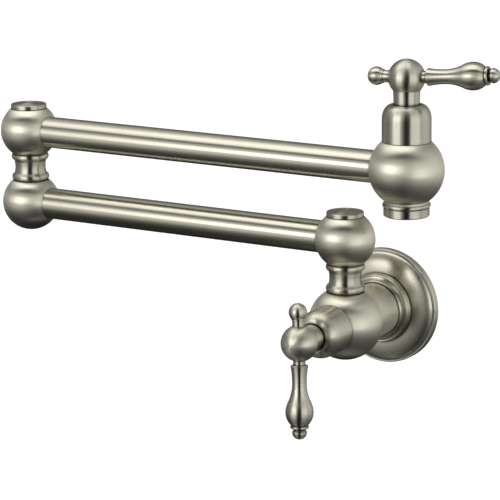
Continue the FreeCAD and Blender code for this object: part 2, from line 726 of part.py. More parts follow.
# ------------------------------------------------------------------ the wall end, in the wall valve's frame
def inlet_nipple():
    """Half-inch male nipple, screwed into the shank and out into the wall's fitting."""
    inner_end = shank_end_level + inlet_socket_depth - slip_gap
    outer_end = wall_level - inlet_projection
    outline = Outline(inlet_bore_radius, inner_end).line(inlet_engaged_radius, inner_end)
    outline.line(inlet_engaged_radius, shank_end_level).line(inlet_thread_radius, shank_end_level)
    outline.line(inlet_thread_radius, outer_end + inlet_chamfer)
    outline.line(inlet_thread_radius - inlet_chamfer, outer_end).line(inlet_bore_radius, outer_end)
    return outline.turned()


def flange_gasket():
    outer_radius = flange_radius - gasket_margin
    return ring(outer_radius - gasket_width, outer_radius, wall_level, wall_level + gasket_thickness)


def wall_flange():
    """Round cover plate: a lip at the rim, then a quarter-round dome up to the collar; hollow behind."""
    bore = shank_radius + flange_bore_gap
    back = wall_level + gasket_thickness
    rim_front = wall_level + flange_side_level
    lip_inner = flange_radius - flange_lip_width
    dome_start = rim_front - flange_lip_step
    face = wall_level + flange_face_level
    inside_face = face - flange_wall
    inside_radius = lip_inner - flange_wall
    outline = Outline(lip_inner, back).line(flange_radius, back).line(flange_radius, rim_front - flange_edge)
    outline.arc_about(flange_radius - flange_edge, rim_front - flange_edge,
                      flange_radius - flange_edge, rim_front)
    outline.line(lip_inner, rim_front).line(lip_inner, dome_start)
    outline.ellipse_quarter(collar_radius, dome_start, collar_radius, face)
    outline.line(bore, face).line(bore, inside_face).line(collar_radius, inside_face)
    outline.ellipse_quarter(collar_radius, dome_start - flange_wall, inside_radius, dome_start - flange_wall)
    outline.line(lip_inner, dome_start - 2 * flange_wall)
    return outline.turned()


def flange_lock_ring():
    """Collar that slides on the shank: tapered side, rounded edge and a hollow sloping front."""
    bore = shank_radius + fit_gap
    foot = wall_level + flange_face_level
    foot_radius = collar_radius - collar_foot_inset
    side_bottom = foot + collar_foot_gap
    step = wall_level + collar_step_level
    step_radius = collar_radius - collar_taper
    top = wall_level + collar_top_level
    slope_bottom = top - collar_face_rise
    slope_start = step_radius - collar_edge
    slope_end = bore + collar_mouth_bevel
    outline = Outline(bore, foot).line(foot_radius, foot).line(foot_radius, side_bottom)
    outline.line(collar_radius, side_bottom).line(step_radius, step)
    outline.arc_about(slope_start, step, slope_start, step + collar_edge)
    outline.line(slope_start - collar_edge, slope_bottom)
    outline.arc((slope_start - collar_edge + slope_end) / 2, (slope_bottom + top) / 2 - collar_face_hollow,
                slope_end, top)
    outline.line(bore, top - collar_mouth_bevel)
    level = wall_level + shank_ring_level
    groove_half = shank_ring_section / 2 + seal_gap * 5
    groove = rod(shank_radius + shank_ring_section + 2 * seal_gap, level - groove_half, level + groove_half)
    return outline.turned().cut(groove)


def shank_seal_ring():
    centre_radius = shank_radius + seal_gap + shank_ring_section / 2
    return seal_ring(centre_radius, shank_ring_section, wall_level + shank_ring_level)


# ------------------------------------------------------------------ the outlet's mouth, in the outlet's frame
def aerator_housing():
    """Screwed-in shell with a bead at the top and a lip that holds the insert."""
    stub_top = -nozzle_level + aerator_stub_length
    bead_bottom = -nozzle_level - aerator_bead_height
    bead_middle = -nozzle_level - aerator_bead_height / 2
    end = -aerator_end
    line_radius = aerator_radius - aerator_line_depth
    outline = Outline(aerator_bore_radius, stub_top).line(aerator_pocket_radius - fit_gap, stub_top)
    outline.line(aerator_pocket_radius - fit_gap, -nozzle_level)
    outline.line(aerator_radius, -nozzle_level)
    outline.arc(aerator_bead_radius, bead_middle, aerator_radius, bead_bottom)
    outline.line(line_radius, bead_bottom).line(line_radius, bead_bottom - aerator_line_depth)
    outline.line(aerator_radius, bead_bottom - aerator_line_depth).line(aerator_radius, end + aerator_edge)
    outline.line(aerator_radius - aerator_edge, end).line(aerator_lip_radius, end)
    outline.line(aerator_lip_radius, end + aerator_lip_thickness)
    outline.line(aerator_bore_radius, end + aerator_lip_thickness)
    return outline.turned()


def aerator_insert():
    """Perforated plug, with rings of holes in a close pattern."""
    bottom = -aerator_end + aerator_lip_thickness
    top = -nozzle_level + aerator_stub_length - slip_gap
    plug = rod(aerator_bore_radius - fit_gap, bottom, top)
    for across in range(-insert_hole_rings, insert_hole_rings + 1):
        for along in range(-insert_hole_rings, insert_hole_rings + 1):
            if abs(across + along) <= insert_hole_rings:
                hole = rod(insert_hole_radius, bottom - 1, top + 1)
                hole.translate(V((across + along / 2) * insert_hole_pitch,
                                 along * insert_hole_pitch * math.sin(math.pi / 3), 0))
                plug = plug.cut(hole)
    return plug


def aerator_washer():
    stub_top = -nozzle_level + aerator_stub_length
    return ring(aerator_washer_bore, aerator_pocket_radius - fit_gap, stub_top, -aerator_pocket_level)


# ------------------------------------------------------------------ everything in its place
def swivel_pieces(name, at):
    """The pieces that carry a turning ball, by node name."""
    return {name + "_swivel_stem": placed(swivel_stem(), at),
            name + "_swivel_neck": placed(swivel_neck(), at),
            name + "_swivel_o_rings": placed(swivel_seal_rings(), at),
            name + "_swivel_washers": placed(swivel_washers(), at),
            name + "_swivel_nut": placed(swivel_nut(), at)}


def cartridge_pieces(name, at):
    return {name + "_bonnet": placed(bonnet(), at),
            name + "_cartridge_body": placed(cartridge_body(), at),
            name + "_cartridge_seal": placed(cartridge_seal(), at),
            name + "_cartridge_o_ring": placed(cartridge_seal_ring(), at),
            name + "_cartridge_fixed_disc": placed(fixed_disc(), at)}


def handle_pieces(name, at, turn):
    """A handle on its valve, turned on its spindle by some degrees."""
    turned = FreeCAD.Placement(V(0, 0, 0), FreeCAD.Rotation(V(0, 0, 1), turn))
    hub_at = placement(V(0, 0, hub_level))
    return {name + "_handle_hub": placed(handle_hub(), hub_at, turned, at),
            name + "_handle_lever": placed(lever_outline().turned(), grip_placement(lever_tilt, 1),
                                           hub_at, turned, at),
            name + "_handle_knob": placed(handle_knob(), grip_placement(0, -1), hub_at, turned, at),
            name + "_cartridge_spindle": placed(spindle(), turned, at),
            name + "_cartridge_turning_disc": placed(turning_disc(), turned, at),
            name + "_spindle_o_ring": placed(spindle_seal_ring(), turned, at),
            name + "_spindle_clip": placed(spindle_clip(), turned, at)}


def pot_filler():
    wall_valve = placement(V(0, -wall_reach, 0), V(0, 0, -1), V(0, -1, 0))
    lower_joint = placement(V(0, -wall_reach, lower_arm_height))
    elbow_below = placement(V(elbow_x, -wall_reach, lower_arm_height))
    elbow_above = placement(V(elbow_x, -wall_reach, upper_arm_height))
    outlet_valve = placement(V(outlet_x, -wall_reach, upper_arm_height))
    right = V(1, 0, 0)
    left = V(-1, 0, 0)

    nodes = {"inlet_nipple": placed(inlet_nipple(), wall_valve),
             "wall_body": placed(wall_body(), wall_valve),
             "wall_flange": placed(wall_flange(), wall_valve),
             "flange_gasket": placed(flange_gasket(), wall_valve),
             "flange_lock_ring": placed(flange_lock_ring(), wall_valve),
             "shank_o_ring": placed(shank_seal_ring(), wall_valve)}
    nodes.update(cartridge_pieces("wall", wall_valve))
    nodes.update(handle_pieces("wall", wall_valve, wall_handle_turn))
    nodes.update(swivel_pieces("lower", lower_joint))

    lower_tube = arm_tube(elbow_x + joint_tube_inset, -joint_tube_inset)
    nodes["lower_arm_wall_ball"] = placed(turning_ball(left), lower_joint)
    nodes["lower_arm_cap"] = placed(joint_cap(), lower_joint)
    nodes["lower_arm_tube"] = placed(lower_tube, lower_joint)
    nodes["lower_arm_elbow_ball"] = placed(elbow_ball(right), elbow_below)
    nodes.update(swivel_pieces("elbow", elbow_above))

    upper_tube = arm_tube(joint_tube_inset, upper_arm_length - valve_tube_inset)
    nodes["upper_arm_elbow_ball"] = placed(turning_ball(right), elbow_above)
    nodes["upper_arm_cap"] = placed(joint_cap(), elbow_above)
    nodes["upper_arm_tube"] = placed(upper_tube, elbow_above)
    nodes["outlet_body"] = placed(outlet_body(), outlet_valve)
    nodes.update(cartridge_pieces("outlet", outlet_valve))
    nodes.update(handle_pieces("outlet", outlet_valve, outlet_handle_turn))
    nodes["aerator_housing"] = placed(aerator_housing(), outlet_valve)
    nodes["aerator_insert"] = placed(aerator_insert(), outlet_valve)
    nodes["aerator_washer"] = placed(aerator_washer(), outlet_valve)
    return nodes


os.makedirs("parts", exist_ok=True)
for node_name, shape in pot_filler().items():
    shape.exportStep("parts/" + node_name + ".step")
    box = shape.BoundBox
    print(f"{node_name:32s} solids {len(shape.Solids)} valid {shape.isValid()} volume {shape.Volume:9.1f} "
          f"x {box.XMin:7.1f} {box.XMax:7.1f} y {box.YMin:7.1f} {box.YMax:6.1f} z {box.ZMin:6.1f} {box.ZMax:6.1f}")
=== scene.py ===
"""Dresses the wall mounted pot filler: brushed nickel, its inner works, the inlet's thread and the studio."""
import json
import math

import bmesh
import bpy
from mathutils import Matrix, Vector


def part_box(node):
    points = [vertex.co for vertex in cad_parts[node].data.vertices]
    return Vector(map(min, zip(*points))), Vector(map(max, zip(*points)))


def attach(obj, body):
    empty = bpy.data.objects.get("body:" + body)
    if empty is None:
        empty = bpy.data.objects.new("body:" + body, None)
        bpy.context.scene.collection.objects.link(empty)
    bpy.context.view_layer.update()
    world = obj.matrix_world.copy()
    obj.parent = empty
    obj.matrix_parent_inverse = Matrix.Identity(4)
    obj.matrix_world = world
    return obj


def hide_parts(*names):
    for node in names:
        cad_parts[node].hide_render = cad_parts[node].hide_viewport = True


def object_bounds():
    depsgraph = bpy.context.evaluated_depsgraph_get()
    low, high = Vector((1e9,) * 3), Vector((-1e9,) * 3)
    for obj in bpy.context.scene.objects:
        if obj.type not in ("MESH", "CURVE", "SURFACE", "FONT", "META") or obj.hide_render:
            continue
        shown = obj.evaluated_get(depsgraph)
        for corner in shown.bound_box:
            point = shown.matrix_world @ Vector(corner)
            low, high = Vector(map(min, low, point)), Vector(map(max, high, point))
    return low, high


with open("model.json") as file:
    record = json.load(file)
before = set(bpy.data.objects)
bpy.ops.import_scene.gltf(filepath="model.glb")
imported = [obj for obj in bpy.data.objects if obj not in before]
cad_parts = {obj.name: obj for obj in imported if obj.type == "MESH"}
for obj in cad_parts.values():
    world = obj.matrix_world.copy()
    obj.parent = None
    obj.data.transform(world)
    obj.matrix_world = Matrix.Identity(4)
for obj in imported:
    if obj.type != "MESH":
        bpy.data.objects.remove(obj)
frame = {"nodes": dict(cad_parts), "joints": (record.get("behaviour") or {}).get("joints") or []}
cad_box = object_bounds()

bl_info = {
    "name": "Pot filler finish",
    "version": (1, 0, 0),
    "blender": (4, 5, 0),
    "location": "View3D > Sidebar > Pot filler",
    "description": "Brushed nickel, inner works, inlet thread and studio for a wall mounted pot filler",
    "category": "Object",
}

JOINTS = {joint["name"]: Vector(joint["pos_m"]) for joint in frame["joints"]}
X_WAY, Y_WAY, Z_WAY = Vector((1, 0, 0)), Vector((0, 1, 0)), Vector((0, 0, 1))
# A square's corners in order round it.
CORNERS = ((-1, -1), (1, -1), (1, 1), (-1, 1))
WHITE = (1, 1, 1, 1)


# ------------------------------------------------ sizes and colours that a user would change
class NickelSettings(bpy.types.PropertyGroup):
    """Colours and grain of the brushed nickel"""
    colour: bpy.props.FloatVectorProperty(
        name="Nickel", description="Colour of the brushed nickel, linear", subtype="COLOR", size=3,
        min=0, max=1, default=(0.606, 0.588, 0.486))
    shade: bpy.props.FloatVectorProperty(
        name="Nickel, darker grain", description="Colour in the grain's darker lines, linear",
        subtype="COLOR", size=3, min=0, max=1, default=(0.573, 0.556, 0.453))
    # Painted light: the balls get a lighter copy of the same nickel as the other pieces, by this factor.
    ball_painted_light: bpy.props.FloatProperty(
        name="Ball lightness", description="How much lighter than the other pieces the balls are",
        subtype="FACTOR", min=0, max=1.4, default=1.16)
    ball_roughness: bpy.props.FloatProperty(
        name="Ball roughness", description="Mean roughness of the balls' upright grain", subtype="FACTOR",
        min=0, max=1, default=0.34)
    turned_roughness: bpy.props.FloatProperty(
        name="Turned roughness", description="Mean roughness of the grain on the turned pieces",
        subtype="FACTOR", min=0, max=1, default=0.28)
    tube_roughness: bpy.props.FloatProperty(
        name="Tube roughness", description="Mean roughness of the tubes' grain", subtype="FACTOR",
        min=0, max=1, default=0.21)
    grain_depth: bpy.props.FloatProperty(
        name="Grain depth", description="Height of the brushed lines", subtype="DISTANCE",
        unit="LENGTH", min=0, default=0.0000012, precision=7)


class ThreadSettings(bpy.types.PropertyGroup):
    """Thread of the inlet nipple"""
    pitch: bpy.props.FloatProperty(
        name="Pitch", description="Distance from one turn of the inlet's thread to the next",
        subtype="DISTANCE", unit="LENGTH", min=0.0005, default=0.001814, precision=6)
    depth: bpy.props.FloatProperty(
        name="Depth", description="Height of the thread's ridge", subtype="DISTANCE", unit="LENGTH",
        min=0.0001, default=0.0011, precision=6)


class StudioSettings(bpy.types.PropertyGroup):
    """Floor and camera"""
    floor_drop: bpy.props.FloatProperty(
        name="Floor drop", description="Height of the tap's lowest point above the floor",
        subtype="DISTANCE", unit="LENGTH", min=0, default=0.35)
    floor_colour: bpy.props.FloatVectorProperty(
        name="Floor", description="Colour of the floor, linear", subtype="COLOR", size=3,
        min=0, max=1, default=(0.88, 0.88, 0.88))
    camera_azimuth: bpy.props.FloatProperty(
        name="Camera azimuth", description="Turn of the camera to the right of straight in front",
        subtype="ANGLE", unit="ROTATION", default=math.radians(31.596))
    camera_elevation: bpy.props.FloatProperty(
        name="Camera elevation", description="Angle of the camera's view above the horizon",
        subtype="ANGLE", unit="ROTATION", default=math.radians(13.093))
    camera_roll: bpy.props.FloatProperty(
        name="Camera roll", description="Tilt of the camera about its view", subtype="ANGLE",
        unit="ROTATION", default=math.radians(-0.66))
    camera_place: bpy.props.FloatVectorProperty(
        name="Camera place", description="Where the camera stands", subtype="TRANSLATION",
        unit="LENGTH", size=3, default=(0.85605, -1.56932, 0.45377))
    camera_lens: bpy.props.FloatProperty(
        name="Lens", description="Focal length on a 36 mm wide sensor", unit="CAMERA", min=1,
        default=194.98)


# ------------------------------------------------ node helpers
NODE_COLUMNS, NODE_WIDTH, NODE_HEIGHT = 12, 180, 260


class Graph:
    """Adds nodes to a tree and links them, left to right."""

    def __init__(self, tree):
        self.tree = tree
        self.count = 0

    def add(self, kind, settings=None, **inputs):
        node = self.tree.nodes.new(kind)
        self.count += 1
        row, column = divmod(self.count, NODE_COLUMNS)
        node.location = (NODE_WIDTH * column, -NODE_HEIGHT * row)
        for name, value in (settings or {}).items():
            setattr(node, name, value)
        for name, value in inputs.items():
            self.put(value, node.inputs[name.replace("_", " ")])
        return node

    def put(self, value, socket):
        if isinstance(value, bpy.types.Node):
            value = value.outputs[0]
        if isinstance(value, bpy.types.NodeSocket):
            self.tree.links.new(value, socket)
        else:
            socket.default_value = value

    def maths(self, operation, *values):
        node = self.add("ShaderNodeMath", {"operation": operation})
        for index, value in enumerate(values):
            self.put(value, node.inputs[index])
        return node.outputs[0]

    def vector(self, operation, *values):
        node = self.add("ShaderNodeVectorMath", {"operation": operation})
        for index, value in enumerate(values):
            self.put(value, node.inputs[index])
        return node.outputs[1 if operation in ("LENGTH", "DOT_PRODUCT") else 0]

    def mixed_colour(self, share, first, second):
        node = self.add("ShaderNodeMix", {"data_type": "RGBA"})
        for value, socket in ((share, node.inputs[0]), (first, node.inputs[6]), (second, node.inputs[7])):
            self.put(value, socket)
        return node.outputs[2]

    def noise(self, place, scale, detail=2.0, roughness=0.5):
        node = self.add("ShaderNodeTexNoise", Scale=scale, Detail=detail, Roughness=roughness)
        self.put(place, node.inputs["Vector"])
        return node.outputs[0]

    def ranged(self, value, low, high, to_low, to_high, kind="LINEAR"):
        node = self.add("ShaderNodeMapRange", {"interpolation_type": kind})
        for index, entry in enumerate((value, low, high, to_low, to_high)):
            self.put(entry, node.inputs[index])
        return node.outputs[0]

    def mixed_shader(self, share, first, second):
        node = self.add("ShaderNodeMixShader")
        for index, value in enumerate((share, first, second)):
            self.put(value, node.inputs[index])
        return node

    def object_place(self):
        return self.add("ShaderNodeTexCoord").outputs["Object"]

    def bumps(self, height, strength, distance):
        node = self.add("ShaderNodeBump", Strength=strength, Distance=distance)
        self.put(height, node.inputs["Height"])
        return node


def new_material(name):
    material = bpy.data.materials.new(name)
    material.use_nodes = True
    material.node_tree.nodes.clear()
    return material, Graph(material.node_tree)


def close_material(graph, shader):
    output = graph.add("ShaderNodeOutputMaterial")
    graph.put(shader, output.inputs["Surface"])


def placed(name, data):
    """A new object in the scene with this mesh or camera."""
    thing = bpy.data.objects.new(name, data)
    bpy.context.scene.collection.objects.link(thing)
    return thing


def colour4(colour):
    return (*colour, 1.0)


# ------------------------------------------------ materials
# Noise in the grain: the coarse part's scale beside the fine one's, and the slow clouds' in waves a metre.
COARSE_SCALE, CLOUD_SCALE = 0.23, 55.0
FINE_SHARE, COARSE_SHARE = 0.72, 0.28
# Between which values of the noise the colour and the roughness change.
TONE_RANGE, SPREAD_RANGE = (0.36, 0.64), (0.3, 0.7)
# The lines' factor on the mean roughness, and what the clouds add to that factor.
LINE_SPREAD, CLOUD_SPREAD = (0.98, 1.02), (-0.05, 0.05)


def grain_group():
    """Brushed grain about an axis: fine lines round it or along it, a roughness and the gloss's direction."""
    name = "Brushed grain"
    if name in bpy.data.node_groups:
        return bpy.data.node_groups[name]
    group = bpy.data.node_groups.new(name, "ShaderNodeTree")
    sockets = group.interface
    for label, kind, default in (
            ("Centre", "NodeSocketVector", (0, 0, 0)),
            ("Axis", "NodeSocketVector", (0, 0, 1)),
            ("Lines round", "NodeSocketFloat", 6.0),
            ("Lines along", "NodeSocketFloat", 2600.0),
            ("Shade", "NodeSocketColor", (0.5, 0.5, 0.5, 1)),
            ("Light", "NodeSocketColor", (0.6, 0.6, 0.6, 1)),
            ("Roughness", "NodeSocketFloat", 0.25),
            ("Depth", "NodeSocketFloat", 0.000004)):
        socket = sockets.new_socket(name=label, in_out="INPUT", socket_type=kind)
        socket.default_value = default
    for label, kind in (("Colour", "NodeSocketColor"), ("Roughness", "NodeSocketFloat"),
                        ("Normal", "NodeSocketVector"), ("Tangent", "NodeSocketVector")):
        sockets.new_socket(name=label, in_out="OUTPUT", socket_type=kind)
    graph = Graph(group)
    given = graph.add("NodeGroupInput")
    result = graph.add("NodeGroupOutput")
    place = graph.object_place()
    centred = graph.vector("SUBTRACT", place, given.outputs["Centre"])
    axis = given.outputs["Axis"]
    height = graph.vector("DOT_PRODUCT", centred, axis)
    along = graph.vector("SCALE", axis)
    graph.put(height, along.node.inputs["Scale"])
    outward = graph.vector("SUBTRACT", centred, along)
    radius = graph.vector("LENGTH", outward)
    way_out = graph.vector("NORMALIZE", outward)
    round_way = graph.vector("CROSS_PRODUCT", axis, way_out)
    tangent = graph.add("ShaderNodeVectorTransform",
                        {"vector_type": "VECTOR", "convert_from": "OBJECT", "convert_to": "WORLD"})
    graph.put(round_way, tangent.inputs[0])
    # The grain's place: how far round on a unit circle, and height plus radius, each at its own scale.
    turn = graph.vector("SCALE", way_out)
    graph.put(given.outputs["Lines round"], turn.node.inputs["Scale"])
    rise = graph.maths("MULTIPLY", graph.maths("ADD", height, radius), given.outputs["Lines along"])
    lifted = graph.vector("SCALE", axis)
    graph.put(rise, lifted.node.inputs["Scale"])
    spot = graph.vector("ADD", turn, lifted)
    fine = graph.noise(spot, 1.0, detail=3.0, roughness=0.7)
    coarse = graph.noise(spot, COARSE_SCALE)
    cloud = graph.noise(centred, CLOUD_SCALE, detail=3.0)
    lines = graph.maths("ADD", graph.maths("MULTIPLY", fine, FINE_SHARE),
                        graph.maths("MULTIPLY", coarse, COARSE_SHARE))
    share = graph.ranged(lines, *TONE_RANGE, 0.0, 1.0)
    toned = graph.mixed_colour(share, given.outputs["Shade"], given.outputs["Light"])
    graph.put(toned, result.inputs["Colour"])
    spread = graph.maths("ADD", graph.ranged(lines, *SPREAD_RANGE, *LINE_SPREAD),
                         graph.ranged(cloud, *SPREAD_RANGE, *CLOUD_SPREAD))
    graph.put(graph.maths("MULTIPLY", spread, given.outputs["Roughness"]), result.inputs["Roughness"])
    graph.put(graph.bumps(lines, 1.0, given.outputs["Depth"]), result.inputs["Normal"])
    graph.put(tangent, result.inputs["Tangent"])
    return group


def grained_metal(name, centre, axis, lines, shade, light, roughness, depth):
    """A new metal material, its graph, and the outputs of the grain in it."""
    material, graph = new_material(name)
    grain = graph.add("ShaderNodeGroup", {"node_tree": grain_group()})
    for label, value in (("Centre", centre), ("Axis", axis), ("Lines round", lines[0]),
                         ("Lines along", lines[1]), ("Shade", colour4(shade)), ("Light", colour4(light)),
                         ("Roughness", roughness), ("Depth", depth)):
        grain.inputs[label].default_value = value
    return material, graph, grain.outputs


def close_metal(graph, grain, colour, stretch, rotation):
    """The surface of a grained metal, with how far its gloss is stretched and which way that is turned."""
    shader = graph.add("ShaderNodeBsdfPrincipled", Metallic=1.0, Anisotropic=stretch,
                       Anisotropic_Rotation=rotation)
    graph.put(colour, shader.inputs["Base Color"])
    for label in ("Roughness", "Normal", "Tangent"):
        graph.put(grain[label], shader.inputs[label])
    close_material(graph, shader)


# The grain's scale on a unit circle round the axis and in waves a metre along it, and the gloss's turn.
GRAINS = {"round": ((6.0, 2600.0), 0.25), "upright": ((150.0, 40.0), 0.0)}
# How much the grain stretches the gloss, from none at 0 to the most at 1.
TURNED_STRETCH, BALL_STRETCH, FLANGE_STRETCH = 1.0, 0.92, 0.8
# Painted shade in the narrow joints between pieces: how near the next surface is, the open shares at which
# the shade is darkest and gone, the rays that look for them, and the shade's colour.
SHADE_REACH, SHADE_DARKEST, SHADE_CLEAR, SHADE_RAYS = 0.0024, 0.5, 0.93, 8
PAINTED_SHADE_COLOUR = (0.035, 0.034, 0.028)


def brushed_nickel(name, centre, axis, grain, roughness, stretch=TURNED_STRETCH, painted_light_gain=1.0):
    """Satin nickel with its grain round the axis, or upright along it as on the balls, with painted shade
    darkening its narrow joints; the gain paints a lighter copy of it.
    """
    nickel = bpy.context.scene.pot_filler_nickel
    lines, rotation = GRAINS[grain]
    # Painted light: the gain makes the nickel lighter than its written colour.
    shade, light = ([painted_light_gain * part for part in tone] for tone in (nickel.shade, nickel.colour))
    material, graph, brushed = grained_metal(name, centre, axis, lines, shade, light, roughness,
                                             nickel.grain_depth)
    # Painted shade: the colour darkens where ambient occlusion finds another surface close by, in the narrow
    # joints between pieces.
    joint = graph.add("ShaderNodeAmbientOcclusion", {"samples": SHADE_RAYS}, Distance=SHADE_REACH)
    unshaded_share = graph.ranged(joint.outputs["AO"], SHADE_DARKEST, SHADE_CLEAR, 0.0, 1.0)
    toned = graph.mixed_colour(unshaded_share, colour4(PAINTED_SHADE_COLOUR), brushed["Colour"])
    close_metal(graph, brushed, toned, stretch, rotation)
    return material


def close_plain(graph, colour, roughness, normal=None):
    """The surface of a material that isn't metal."""
    shader = graph.add("ShaderNodeBsdfPrincipled", Metallic=0.0)
    graph.put(colour, shader.inputs["Base Color"])
    graph.put(roughness, shader.inputs["Roughness"])
    if normal:
        graph.put(normal, shader.inputs["Normal"])
    close_material(graph, shader)


def seal_rubber():
    """Black rubber with a faint bloom and fine pores."""
    name = "Seal rubber"
    if name in bpy.data.materials:
        return bpy.data.materials[name]
    material, graph = new_material(name)
    place = graph.object_place()
    bloom = graph.noise(place, 320.0, detail=4.0)
    pores = graph.noise(place, 2600.0)
    colour = graph.mixed_colour(graph.ranged(bloom, 0.35, 0.7, 0.0, 1.0),
                                (0.018, 0.018, 0.019, 1), (0.045, 0.044, 0.043, 1))
    close_plain(graph, colour, graph.ranged(bloom, 0.3, 0.7, 0.55, 0.75), graph.bumps(pores, 0.6, 0.00004))
    return material


def moulded_plastic(name, colour, roughness):
    """Plastic from a mould, with slow clouds in its colour and a fine skin."""
    material, graph = new_material(name)
    place = graph.object_place()
    cloud = graph.noise(place, 140.0, detail=3.0)
    skin = graph.noise(place, 1800.0)
    darker = [0.9 * part for part in colour]
    toned = graph.mixed_colour(graph.ranged(cloud, 0.35, 0.65, 0.0, 1.0), colour4(darker), colour4(colour))
    close_plain(graph, toned, graph.ranged(skin, 0.3, 0.7, roughness - 0.06, roughness + 0.06),
                graph.bumps(skin, 0.4, 0.00003))
    return material


def foam_rubber():
    """Closed-cell foam of the gasket behind the flange, with painted shade in its cells' hollows."""
    material, graph = new_material("Gasket foam")
    cells = graph.add("ShaderNodeTexVoronoi", {"feature": "SMOOTH_F1"}, Scale=1500.0, Smoothness=0.6)
    graph.put(graph.object_place(), cells.inputs["Vector"])
    # Painted shade: the colour is darker where the cells' bump is low, in their hollows.
    depth = graph.ranged(cells.outputs["Distance"], 0.1, 0.7, 0.0, 1.0)
    colour = graph.mixed_colour(depth, (0.035, 0.035, 0.036, 1), (0.085, 0.085, 0.086, 1))
    close_plain(graph, colour, graph.ranged(depth, 0.0, 1.0, 0.95, 0.8), graph.bumps(depth, 0.9, 0.00012))
    return material


# The rings of bare metal: their scale and the gloss's turn as in GRAINS, their depth and the gloss's stretch.
LATHE_LINES, LATHE_TURN, LATHE_DEPTH, LATHE_STRETCH = (4.0, 4200.0), 0.25, 0.000008, 0.4
STAIN_DARKNESS = 0.55


def machined_metal(name, light, dark, centre, axis, roughness):
    """Bare metal off the lathe: fine rings round the axis and faint stains."""
    material, graph, rings = grained_metal(name, centre, axis, LATHE_LINES, dark, light, roughness,
                                           LATHE_DEPTH)
    cloud = graph.noise(graph.object_place(), 90.0, detail=4.0, roughness=0.6)
    stain = graph.ranged(cloud, 0.5, 0.75, 0.0, 0.5)
    toned = graph.mixed_colour(stain, rings["Colour"], colour4([STAIN_DARKNESS * part for part in dark]))
    close_metal(graph, rings, toned, LATHE_STRETCH, LATHE_TURN)
    return material


def valve_ceramic():
    """Lapped ceramic: nearly white, polished, with a faint speckle."""
    material, graph = new_material("Valve ceramic")
    speckle = graph.noise(graph.object_place(), 2200.0)
    colour = graph.mixed_colour(graph.ranged(speckle, 0.55, 0.75, 0.0, 1.0),
                                (0.82, 0.80, 0.74, 1), (0.62, 0.59, 0.52, 1))
    close_plain(graph, colour, graph.ranged(speckle, 0.3, 0.7, 0.12, 0.2))
    return material


BRASS, DULL_BRASS = (0.70, 0.50, 0.22), (0.58, 0.40, 0.17)
STEEL, DULL_STEEL = (0.52, 0.52, 0.51), (0.44, 0.44, 0.43)
BRASS_ROUGHNESS, INLET_ROUGHNESS, STEEL_ROUGHNESS = 0.32, 0.3, 0.38


def dress(node, material):
    """Puts a material on a CAD node."""
    thing = frame["nodes"][node]
    thing.data.materials.clear()
    thing.data.materials.append(material)


def middle(node):
    low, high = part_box(node)
    return (low + high) / 2


def along_handle(node, hub):
    """The direction from a hub's centre along a lever or a knob."""
    mesh = frame["nodes"][node].data
    total = Vector((0, 0, 0))
    for corner in mesh.vertices:
        total += corner.co
    return (total / len(mesh.vertices) - hub).normalized()


# ------------------------------------------------ the pieces
class POTFILLER_OT_balls(bpy.types.Operator):
    """Satin balls of the joints and the two valves, brushed upright"""
    bl_idname = "potfiller.balls"
    bl_label = "Balls"

    def execute(self, context):
        nickel = context.scene.pot_filler_nickel
        for node, centre in (
                ("lower_arm_wall_ball", JOINTS["lower_arm_swing"]),
                ("lower_arm_elbow_ball", middle("lower_arm_elbow_ball")),
                ("upper_arm_elbow_ball", JOINTS["elbow_swing"]),
                ("wall_body", Vector((0, JOINTS["lower_arm_swing"].y, 0))),
                ("outlet_body", Vector((*JOINTS["outlet_handle_turn"].xy, middle("upper_arm_tube").z)))):
            # Painted light: the balls' nickel is made lighter than on the other pieces by the ball gain.
            dress(node, brushed_nickel("Nickel " + node, centre, Z_WAY, "upright", nickel.ball_roughness,
                                       BALL_STRETCH, nickel.ball_painted_light))
        return {"FINISHED"}


class POTFILLER_OT_tubes(bpy.types.Operator):
    """The two arms' tubes"""
    bl_idname = "potfiller.tubes"
    bl_label = "Tubes"

    def execute(self, context):
        roughness = context.scene.pot_filler_nickel.tube_roughness
        for node in ("lower_arm_tube", "upper_arm_tube"):
            dress(node, brushed_nickel("Nickel " + node, middle(node), X_WAY, "round", roughness))
        return {"FINISHED"}


class POTFILLER_OT_turned_joints(bpy.types.Operator):
    """Swivel necks and caps, turned about the joints' axes"""
    bl_idname = "potfiller.turned_joints"
    bl_label = "Necks and caps"

    def execute(self, context):
        roughness = context.scene.pot_filler_nickel.turned_roughness
        for node in ("lower_swivel_neck", "elbow_swivel_neck", "lower_arm_cap", "upper_arm_cap"):
            dress(node, brushed_nickel("Nickel " + node, middle(node), Z_WAY, "round", roughness))
        return {"FINISHED"}


class POTFILLER_OT_bonnets(bpy.types.Operator):
    """Dome nuts of the two valves"""
    bl_idname = "potfiller.bonnets"
    bl_label = "Bonnets"

    def execute(self, context):
        roughness = context.scene.pot_filler_nickel.turned_roughness
        for node, axis in (("wall_bonnet", Y_WAY), ("outlet_bonnet", Z_WAY)):
            dress(node, brushed_nickel("Nickel " + node, middle(node), axis, "round", roughness))
        return {"FINISHED"}


class POTFILLER_OT_handles(bpy.types.Operator):
    """Hubs, levers and knobs, each turned about its own axis"""
    bl_idname = "potfiller.handles"
    bl_label = "Handles"

    def execute(self, context):
        roughness = context.scene.pot_filler_nickel.turned_roughness
        for name, axis in (("wall", Y_WAY), ("outlet", Z_WAY)):
            hub = JOINTS[name + "_handle_turn"]
            dress(name + "_handle_hub",
                  brushed_nickel("Nickel %s hub" % name, hub, axis, "round", roughness))
            for part in ("lever", "knob"):
                node = "%s_handle_%s" % (name, part)
                way = along_handle(node, hub)
                dress(node, brushed_nickel("Nickel " + node, hub, way, "round", roughness))
        return {"FINISHED"}


